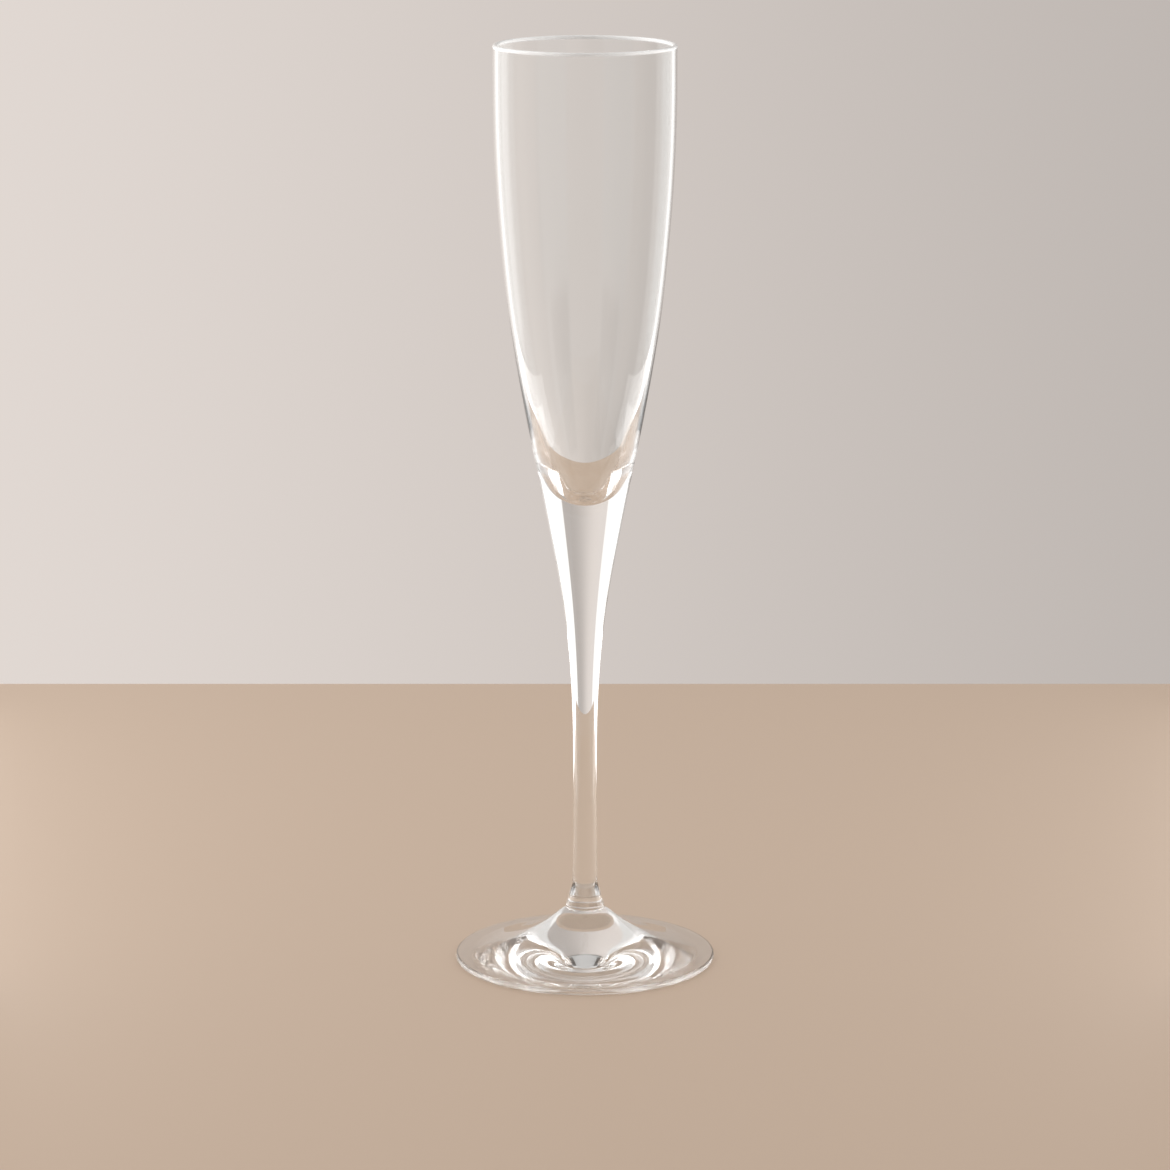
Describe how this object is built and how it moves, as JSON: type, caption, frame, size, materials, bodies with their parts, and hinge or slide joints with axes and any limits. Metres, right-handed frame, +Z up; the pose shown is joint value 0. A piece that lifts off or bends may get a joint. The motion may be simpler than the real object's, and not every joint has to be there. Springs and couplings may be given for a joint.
{
  "type": "champagne flute",
  "caption": "Clear glass champagne flute: a tall tapering bowl on a slim solid stem, with a welded collar ring and a wide disc foot.",
  "frame": {"origin": "centre of the foot's underside, on the surface that the flute stands on", "axes": "+Z up the axis of the stem to the lip; X and Y are level, and alike, since every piece is round"},
  "size_m": [0.0752, 0.0752, 0.265],
  "materials": {
    "bowl_glass": "clear, fire-polished",
    "stem_glass": "clear, fire-polished",
    "collar_glass": "clear, fire-polished",
    "foot_glass": "clear, fire-polished"
  },
  "bodies": {
    "root": {"bowl": "bowl_glass", "stem": "stem_glass", "foot_collar": "collar_glass", "foot": "foot_glass"}
  },
  "joints": []
}
